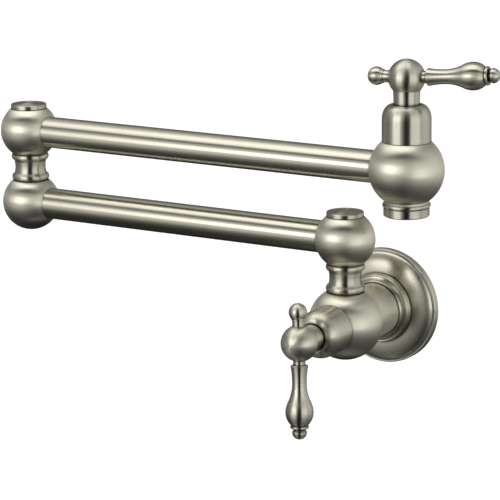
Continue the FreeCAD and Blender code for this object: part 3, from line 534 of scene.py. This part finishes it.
class POTFILLER_OT_wall_end(bpy.types.Operator):
    """Flange and lock ring, turned about the inlet"""
    bl_idname = "potfiller.wall_end"
    bl_label = "Flange and lock ring"

    def execute(self, context):
        roughness = context.scene.pot_filler_nickel.turned_roughness
        for node in ("wall_flange", "flange_lock_ring"):
            dress(node, brushed_nickel("Nickel " + node, middle(node), Y_WAY, "round", roughness,
                                       FLANGE_STRETCH))
        return {"FINISHED"}


class POTFILLER_OT_aerator(bpy.types.Operator):
    """Aerator's shell, its perforated insert and its washer"""
    bl_idname = "potfiller.aerator"
    bl_label = "Aerator"

    def execute(self, context):
        roughness = context.scene.pot_filler_nickel.turned_roughness
        node = "aerator_housing"
        dress(node, brushed_nickel("Nickel " + node, middle(node), Z_WAY, "round", roughness))
        dress("aerator_insert", moulded_plastic("Aerator plastic", (0.62, 0.63, 0.64), 0.42))
        dress("aerator_washer", seal_rubber())
        return {"FINISHED"}


class POTFILLER_OT_inner_works(bpy.types.Operator):
    """Brass, ceramic, plastic and rubber inside the valves and the swivels"""
    bl_idname = "potfiller.inner_works"
    bl_label = "Inner works"

    def execute(self, context):
        ceramic = valve_ceramic()
        for valve, axis in (("wall", Y_WAY), ("outlet", Z_WAY)):
            centre = JOINTS[valve + "_handle_turn"]
            for part in ("body", "spindle"):
                dress("%s_cartridge_%s" % (valve, part),
                      machined_metal("Brass %s %s" % (valve, part), BRASS, DULL_BRASS, centre, axis,
                                     BRASS_ROUGHNESS))
            for part in ("fixed_disc", "turning_disc"):
                dress("%s_cartridge_%s" % (valve, part), ceramic)
            for node in ("%s_cartridge_seal", "%s_cartridge_o_ring", "%s_spindle_o_ring"):
                dress(node % valve, seal_rubber())
            dress(valve + "_spindle_clip",
                  machined_metal("Clip steel " + valve, STEEL, DULL_STEEL, centre, axis, STEEL_ROUGHNESS))
        slip = moulded_plastic("Slip washer plastic", (0.045, 0.045, 0.047), 0.5)
        for swivel in ("lower", "elbow"):
            centre = middle(swivel + "_swivel_stem")
            for part in ("stem", "nut"):
                dress("%s_swivel_%s" % (swivel, part),
                      machined_metal("Brass %s swivel %s" % (swivel, part), BRASS, DULL_BRASS, centre, Z_WAY,
                                     BRASS_ROUGHNESS))
            dress(swivel + "_swivel_o_rings", seal_rubber())
            dress(swivel + "_swivel_washers", slip)
        dress("shank_o_ring", seal_rubber())
        dress("flange_gasket", foam_rubber())
        return {"FINISHED"}


# ------------------------------------------------ the inlet's nipple, with its thread
# Over which share of the winding the ridge dies away at each end, and how small it is at its tip.
THREAD_FADE, THREAD_TIP = 0.07, 0.05
# The ridge's width beside the pitch, and how deep its foot sits in the nipple.
RIDGE_SHARE, RIDGE_SUNK = 0.9, 0.00005
# How many steps one turn has, in the thread and in the nipple.
THREAD_STEPS, TURNED_STEPS = 48, 96
# The nipple's bore, its plain radius in the valve, its chamfer, and the slopes at its step and its mouth.
INLET_BORE, INLET_PLAIN, INLET_CHAMFER, INLET_SLOPE = 0.0075, 0.0105, 0.0010, 0.0005


def thread_tree():
    """A triangular ridge that winds along Y and dies away at both ends, added to the plain nipple."""
    tree = bpy.data.node_groups.new("Pipe thread", "GeometryNodeTree")
    sockets = tree.interface
    sockets.new_socket(name="Nipple", in_out="INPUT", socket_type="NodeSocketGeometry")
    for label, kind in (("Turns", "Float"), ("Root radius", "Float"), ("Length", "Float"),
                        ("Ridge height", "Float"), ("Ridge width", "Float"), ("Start", "Vector"),
                        ("Metal", "Material")):
        sockets.new_socket(name=label, in_out="INPUT", socket_type="NodeSocket" + kind)
    sockets.new_socket(name="Threaded nipple", in_out="OUTPUT", socket_type="NodeSocketGeometry")
    graph = Graph(tree)
    given = graph.add("NodeGroupInput").outputs
    spiral = graph.add("GeometryNodeCurveSpiral", Resolution=THREAD_STEPS, Rotations=given["Turns"],
                       Start_Radius=given["Root radius"], End_Radius=given["Root radius"],
                       Height=given["Length"])
    upright = graph.add("GeometryNodeSetCurveNormal", {"mode": "Z_UP"}, Curve=spiral)
    share = graph.add("GeometryNodeSplineParameter").outputs["Factor"]
    nearest_end = graph.maths("MINIMUM", share, graph.maths("SUBTRACT", 1.0, share))
    fade = graph.ranged(nearest_end, 0.0, THREAD_FADE, THREAD_TIP, 1.0)
    # The section is a triangle of height 1.5 about its centre, so these scales bring it to the ridge's size.
    stretch = graph.add("ShaderNodeCombineXYZ", Z=1.0)
    graph.put(graph.maths("DIVIDE", given["Ridge height"], 1.5), stretch.inputs["X"])
    graph.put(graph.maths("DIVIDE", given["Ridge width"], math.sqrt(3)), stretch.inputs["Y"])
    triangle = graph.add("GeometryNodeCurvePrimitiveCircle", {"mode": "RADIUS"}, Resolution=3, Radius=1.0)
    section = graph.add("GeometryNodeTransform", Geometry=triangle, Rotation=(0.0, 0.0, math.pi),
                        Scale=stretch)
    ridge = graph.add("GeometryNodeCurveToMesh", Curve=upright, Profile_Curve=section, Scale=fade,
                      Fill_Caps=True)
    turned = graph.add("GeometryNodeTransform", Geometry=ridge, Translation=given["Start"],
                       Rotation=(-math.pi / 2, 0.0, 0.0))
    joined = graph.add("GeometryNodeJoinGeometry")
    graph.put(turned, joined.inputs[0])
    graph.put(given["Nipple"], joined.inputs[0])
    real = graph.add("GeometryNodeRealizeInstances", Geometry=joined)
    brassy = graph.add("GeometryNodeSetMaterial", Geometry=real, Material=given["Metal"])
    result = graph.add("NodeGroupOutput")
    graph.put(brassy, result.inputs[0])
    return tree


def turned_mesh(name, outline):
    """A mesh turned about Y from a closed outline of (radius, y)."""
    mesh = bpy.data.meshes.new(name)
    shell = bmesh.new()
    rings = []
    for step in range(TURNED_STEPS):
        angle = 2 * math.pi * step / TURNED_STEPS
        rings.append([shell.verts.new((radius * math.sin(angle), level, radius * math.cos(angle)))
                      for radius, level in outline])
    for ring, following in zip(rings, rings[1:] + rings[:1]):
        for index in range(len(outline)):
            later = (index + 1) % len(outline)
            shell.faces.new((ring[index], ring[later], following[later], following[index]))
    bmesh.ops.recalc_face_normals(shell, faces=shell.faces)
    shell.to_mesh(mesh)
    shell.free()
    return mesh


class POTFILLER_OT_inlet(bpy.types.Operator):
    """Brass inlet nipple, with its pipe thread"""
    bl_idname = "potfiller.inlet"
    bl_label = "Inlet nipple"

    def execute(self, context):
        thread = context.scene.pot_filler_thread
        node = "inlet_nipple"
        low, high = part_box(node)
        root = high.x - thread.depth
        mesh = turned_mesh(node, (
            (INLET_BORE, low.y), (INLET_PLAIN - INLET_CHAMFER, low.y), (INLET_PLAIN, low.y + INLET_CHAMFER),
            (INLET_PLAIN, -INLET_SLOPE), (root, INLET_SLOPE), (root, high.y - INLET_CHAMFER),
            (root - INLET_CHAMFER, high.y), (INLET_BORE + INLET_SLOPE, high.y),
            (INLET_BORE, high.y - INLET_SLOPE)))
        metal = machined_metal("Brass inlet", BRASS, DULL_BRASS, Vector((0, 0, 0)), Y_WAY, INLET_ROUGHNESS)
        nipple = placed("inlet_nipple_threaded", mesh)
        tree = thread_tree()
        winding = nipple.modifiers.new("Thread", "NODES")
        winding.node_group = tree
        length = high.y - INLET_CHAMFER - thread.pitch
        values = {"Turns": length / thread.pitch, "Root radius": root + thread.depth / 3 - RIDGE_SUNK,
                  "Length": length, "Ridge height": thread.depth, "Ridge width": RIDGE_SHARE * thread.pitch,
                  "Start": (0.0, thread.pitch / 2, 0.0), "Metal": metal}
        for item in tree.interface.items_tree:
            if item.in_out == "INPUT" and item.name in values:
                winding[item.identifier] = values[item.name]
        context.view_layer.update()
        whole = bpy.data.meshes.new_from_object(nipple.evaluated_get(context.evaluated_depsgraph_get()))
        nipple.modifiers.clear()
        nipple.data = whole
        whole.materials.clear()
        whole.materials.append(metal)
        whole.polygons.foreach_set("material_index", [0] * len(whole.polygons))
        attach(nipple, "wall_unit")
        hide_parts(node)
        return {"FINISHED"}


# ------------------------------------------------ the studio
class POTFILLER_OT_stage(bpy.types.Operator):
    """Pale floor, white surroundings, what the nickel reflects of a studio, and the camera"""
    bl_idname = "potfiller.stage"
    bl_label = "Studio"

    def execute(self, context):
        studio = context.scene.pot_filler_studio
        context.scene.view_settings.view_transform = "Standard"
        front = math.degrees(studio.camera_azimuth)
        make_camera(studio)
        make_world(front)
        make_floor(studio)
        make_lights(front)
        return {"FINISHED"}


def view_ways(azimuth, elevation):
    """Unit vectors back to the viewer, to the viewer's right and up, for a view in degrees."""
    turn, rise = math.radians(azimuth), math.radians(elevation)
    back = Vector((math.sin(turn) * math.cos(rise), -math.cos(turn) * math.cos(rise), math.sin(rise)))
    right = Vector((math.cos(turn), math.sin(turn), 0))
    return back, right, back.cross(right)


# In millimetres, and in metres.
SENSOR_WIDTH, CAMERA_REACH = 36.0, 50.0


def make_camera(studio):
    back, right, up = view_ways(math.degrees(studio.camera_azimuth), math.degrees(studio.camera_elevation))
    roll = studio.camera_roll
    level = right * math.cos(roll) + up * math.sin(roll)
    upward = up * math.cos(roll) - right * math.sin(roll)
    data = bpy.data.cameras.new("Camera")
    data.lens = studio.camera_lens
    data.sensor_width = SENSOR_WIDTH
    data.clip_end = CAMERA_REACH
    camera = placed("Camera", data)
    camera.matrix_world = Matrix.Translation(Vector(studio.camera_place)) @ Matrix(
        (level, upward, back)).transposed().to_4x4()
    bpy.context.scene.camera = camera


# The middle of the studio, and how far to the right of straight in front its ceiling is turned, in degrees.
CENTRE = Vector((-0.08, -0.05, 0.06))
CEILING_TURN = 20.0

# What the nickel reflects of the surroundings, where 1 is white. First by degrees round to the right of the
# camera: black behind the camera, white on both sides, grey behind the tap.
ROUND_STOPS = ((-180, 0.15), (-150, 0.2), (-120, 0.27), (-92, 0.28), (-80, 0.5), (-66, 1.0), (-34, 1.0),
               (-22, 0.5), (-13, 0.05), (0, 0.0), (11, 0.04), (18, 0.85), (48, 1.0), (62, 0.75), (92, 0.85),
               (110, 0.75), (130, 0.5), (150, 0.28), (180, 0.15))
# Then by degrees above the horizon: darker and darker below it, and darkest at 60 degrees down.
RISE_STOPS = ((-90, 0.22), (-78, 0.26), (-60, 0.09), (-44, 0.12), (-31, 0.24), (-25, 0.38), (-19, 0.58),
              (-12, 0.84), (0, 1.0), (90, 1.0))
# And on the ceiling, by how far in front of the tap, in heights of the ceiling: lit, with a dark bar.
CEILING_STOPS = ((-3.0, 0.15), (-1.7, 0.2), (-1.1, 0.62), (-0.4, 0.8), (0.0, 1.0), (0.44, 0.8), (0.54, 0.2),
                 (0.64, 0.0), (0.82, 0.0), (0.99, 0.27), (1.3, 0.75), (1.7, 1.0), (3.0, 1.0))
# The black cloth behind the camera goes on up to the ceiling, and the ceiling is darker behind on the right.
STRIP_STOPS = ((-180, 0.7), (-150, 0.9), (-130, 1.0), (-24, 1.0), (-13, 0.05), (0, 0.0), (12, 0.05),
               (20, 1.0), (60, 0.9), (100, 0.55), (150, 0.5), (180, 0.7))
# The walls give way to the ceiling between these degrees above the horizon, and the ceiling's distance in
# front is measured as if no direction were flatter than this rise.
CEILING_FROM, CEILING_TO = 20.0, 42.0
FLATTEST_RISE = 0.05


def curve_of(graph, value, stops):
    """A smooth brightness for a value, from stops of value and brightness."""
    low, high = stops[0][0], stops[-1][0]
    ramp = graph.add("ShaderNodeValToRGB")
    graph.put(graph.ranged(value, low, high, 0.0, 1.0), ramp.inputs[0])
    colours = ramp.color_ramp
    while len(colours.elements) > 1:
        colours.elements.remove(colours.elements[-1])
    for index, (at, grey) in enumerate(stops):
        share = (at - low) / (high - low)
        stop = colours.elements[0] if index == 0 else colours.elements.new(share)
        stop.position = share
        stop.color = (grey, grey, grey, 1)
    return ramp.outputs[0]


def surroundings(graph, way, front):
    """Brightness of the studio in a direction from the tap: dark cloth, white walls and a lit ceiling."""
    ahead, right, _up = view_ways(front, 0)
    turn = graph.maths("DEGREES", graph.maths("ARCTAN2", graph.vector("DOT_PRODUCT", way, tuple(right)),
                                              graph.vector("DOT_PRODUCT", way, tuple(ahead))))
    height = graph.vector("DOT_PRODUCT", way, (0, 0, 1))
    rise = graph.maths("DEGREES", graph.maths("ARCSINE", height))
    walls = graph.maths("MULTIPLY", curve_of(graph, turn, ROUND_STOPS), curve_of(graph, rise, RISE_STOPS))
    square, _right, _up = view_ways(CEILING_TURN, 0)
    in_front = graph.maths("DIVIDE", graph.vector("DOT_PRODUCT", way, tuple(square)),
                           graph.maths("MAXIMUM", height, FLATTEST_RISE))
    ceiling = graph.maths("MULTIPLY", curve_of(graph, in_front, CEILING_STOPS),
                          curve_of(graph, turn, STRIP_STOPS))
    both = graph.add("ShaderNodeMix", {"data_type": "FLOAT"})
    share = graph.ranged(rise, CEILING_FROM, CEILING_TO, 0.0, 1.0)
    for value, socket in ((share, 0), (walls, 2), (ceiling, 3)):
        graph.put(value, both.inputs[socket])
    return both.outputs[0]


# How bright the plain white is for the camera, and how bright for pieces that aren't metal.
SEEN_WHITE, LIT_WHITE = 1.0, 0.75


def make_world(front):
    """White for the camera, less for matt pieces, and the studio's walls and ceiling for the nickel."""
    world = bpy.data.worlds.new("White surroundings")
    bpy.context.scene.world = world
    world.use_nodes = True
    world.node_tree.nodes.clear()
    graph = Graph(world.node_tree)
    rays = graph.add("ShaderNodeLightPath").outputs
    way = graph.vector("NORMALIZE", graph.object_place())
    seen, lit, reflected = (
        graph.add("ShaderNodeBackground", Color=WHITE, Strength=strength)
        for strength in (SEEN_WHITE, LIT_WHITE, surroundings(graph, way, front)))
    matt = graph.mixed_shader(rays["Is Diffuse Ray"], reflected, lit)
    direct = graph.maths("MAXIMUM", rays["Is Camera Ray"], rays["Is Transmission Ray"])
    output = graph.add("ShaderNodeOutputWorld")
    graph.put(graph.mixed_shader(direct, matt, seen), output.inputs["Surface"])


def around(azimuth, elevation, distance):
    """A point about the tap, from its azimuth and elevation in degrees as seen from the tap."""
    back, _right, _up = view_ways(azimuth, elevation)
    return CENTRE + back * distance


def reflected_only(thing):
    """It shows in the nickel, and neither in the picture nor as a shadow."""
    thing.visible_camera = False
    thing.visible_diffuse = False
    thing.visible_shadow = False


def soft_panel(name, azimuth, elevation, distance, width, height, strength, edge, slide=0.0):
    """A lit cloth that faces the tap, and fades out at its edges over these shares of its half."""
    centre = around(azimuth, elevation, distance)
    back = (CENTRE - centre).normalized()
    across = Z_WAY.cross(back).normalized()
    up = back.cross(across)
    centre += across * slide
    mesh = bpy.data.meshes.new(name)
    mesh.from_pydata([centre + across * (sx * width / 2) + up * (sy * height / 2) for sx, sy in CORNERS],
                     [], [(0, 1, 2, 3)])
    layer = mesh.uv_layers.new(name="Panel")
    for corner, (sx, sy) in enumerate(CORNERS):
        layer.data[corner].uv = (sx, sy)
    material, graph = new_material(name)
    place = graph.add("ShaderNodeUVMap", {"uv_map": "Panel"}).outputs[0]
    apart = graph.add("ShaderNodeSeparateXYZ")
    graph.put(graph.vector("ABSOLUTE", place), apart.inputs[0])
    fades = []
    for side, share in zip("XY", edge):
        fades.append(graph.ranged(apart.outputs[side], 1.0 - share, 1.0, 1.0, 0.0, kind="SMOOTHSTEP"))
    glow = graph.add("ShaderNodeEmission", Color=WHITE, Strength=strength)
    clear = graph.add("ShaderNodeBsdfTransparent")
    close_material(graph, graph.mixed_shader(graph.maths("MULTIPLY", *fades), clear, glow))
    mesh.materials.append(material)
    reflected_only(placed(name, mesh))


# The bowl's radius, and its depth as a share of that.
BOWL_RADIUS, BOWL_FLATNESS = 2.4, 0.17


def dark_bowl(front):
    """Dark cloth close above the floor, which the nickel reflects underneath."""
    mesh = bpy.data.meshes.new("Bowl")
    shell = bmesh.new()
    bmesh.ops.create_uvsphere(shell, u_segments=64, v_segments=32, radius=BOWL_RADIUS)
    above = [corner for corner in shell.verts if corner.co.z > 0.001]
    bmesh.ops.delete(shell, geom=above, context="VERTS")
    bmesh.ops.scale(shell, vec=(1, 1, BOWL_FLATNESS), verts=shell.verts)
    bmesh.ops.translate(shell, vec=CENTRE, verts=shell.verts)
    bmesh.ops.reverse_faces(shell, faces=shell.faces)
    shell.to_mesh(mesh)
    shell.free()
    material, graph = new_material("Black cloth")
    way = graph.vector("NORMALIZE", graph.vector("SUBTRACT", graph.object_place(), tuple(CENTRE)))
    glow = graph.add("ShaderNodeEmission", Color=WHITE, Strength=surroundings(graph, way, front))
    close_material(graph, glow)
    mesh.materials.append(material)
    reflected_only(placed("Bowl", mesh))


FLOOR_REACH, FLOOR_GLOW = 9.0, 0.45


def make_floor(studio):
    """Pale matt floor, which also glows in the picture and in what the nickel reflects."""
    level = cad_box[0].z - studio.floor_drop
    mesh = bpy.data.meshes.new("Floor")
    mesh.from_pydata([(sx * FLOOR_REACH, sy * FLOOR_REACH, level) for sx, sy in CORNERS], [], [(0, 1, 2, 3)])
    floor = placed("Floor", mesh)
    material, graph = new_material("Pale floor")
    plain = graph.add("ShaderNodeBsdfDiffuse", Color=colour4(studio.floor_colour))
    lift = graph.add("ShaderNodeEmission", Color=WHITE, Strength=FLOOR_GLOW)
    nothing = graph.add("ShaderNodeEmission", Color=(0, 0, 0, 1), Strength=0.0)
    rays = graph.add("ShaderNodeLightPath").outputs
    shown = graph.maths("MAXIMUM", graph.maths("MAXIMUM", rays["Is Camera Ray"], rays["Is Glossy Ray"]),
                        rays["Is Transmission Ray"])
    both = graph.add("ShaderNodeAddShader")
    graph.put(plain, both.inputs[0])
    graph.put(graph.mixed_shader(shown, nothing, lift), both.inputs[1])
    close_material(graph, both)
    mesh.materials.append(material)


def make_lights(front):
    """Three lit panels and the dark bowl; azimuths and elevations are in degrees as seen from the tap."""
    soft_panel("Left softbox", azimuth=front - 46, elevation=11, distance=1.3, width=0.95, height=0.72,
               strength=3.1, edge=(0.25, 0.55))
    soft_panel("Right panel", azimuth=front + 40, elevation=-8, distance=1.5, width=1.3, height=1.6,
               strength=1.5, edge=(0.2, 0.6))
    soft_panel("Top softbox", azimuth=CEILING_TURN, elevation=86, distance=1.3, width=1.9, height=1.15,
               strength=1.85, edge=(0.2, 0.4), slide=0.4)
    dark_bowl(front)


# ------------------------------------------------ the panel, and running it
PIECES = (POTFILLER_OT_balls, POTFILLER_OT_tubes, POTFILLER_OT_turned_joints, POTFILLER_OT_bonnets,
          POTFILLER_OT_handles, POTFILLER_OT_wall_end, POTFILLER_OT_aerator, POTFILLER_OT_inner_works,
          POTFILLER_OT_inlet)


class POTFILLER_PT_finish(bpy.types.Panel):
    """Lists the pieces and the settings of the pot filler"""
    bl_idname = "POTFILLER_PT_finish"
    bl_label = "Pot filler"
    bl_space_type = "VIEW_3D"
    bl_region_type = "UI"
    bl_category = "Pot filler"

    def draw(self, context):
        for settings in ("pot_filler_nickel", "pot_filler_thread", "pot_filler_studio"):
            box = self.layout.box()
            group = getattr(context.scene, settings)
            for name in group.__annotations__:
                box.prop(group, name)
        for operator in (*PIECES, POTFILLER_OT_stage):
            self.layout.operator(operator.bl_idname)


CLASSES = (NickelSettings, ThreadSettings, StudioSettings, *PIECES, POTFILLER_OT_stage, POTFILLER_PT_finish)


def register():
    for kind in CLASSES:
        bpy.utils.register_class(kind)
    bpy.types.Scene.pot_filler_nickel = bpy.props.PointerProperty(type=NickelSettings)
    bpy.types.Scene.pot_filler_thread = bpy.props.PointerProperty(type=ThreadSettings)
    bpy.types.Scene.pot_filler_studio = bpy.props.PointerProperty(type=StudioSettings)


def unregister():
    for name in ("pot_filler_nickel", "pot_filler_thread", "pot_filler_studio"):
        delattr(bpy.types.Scene, name)
    for kind in reversed(CLASSES):
        bpy.utils.unregister_class(kind)


def main():
    register()
    bpy.ops.potfiller.stage()
    for kind in PIECES:
        getattr(bpy.ops.potfiller, kind.bl_idname.split(".")[1])()


if __name__ == "__main__":
    main()
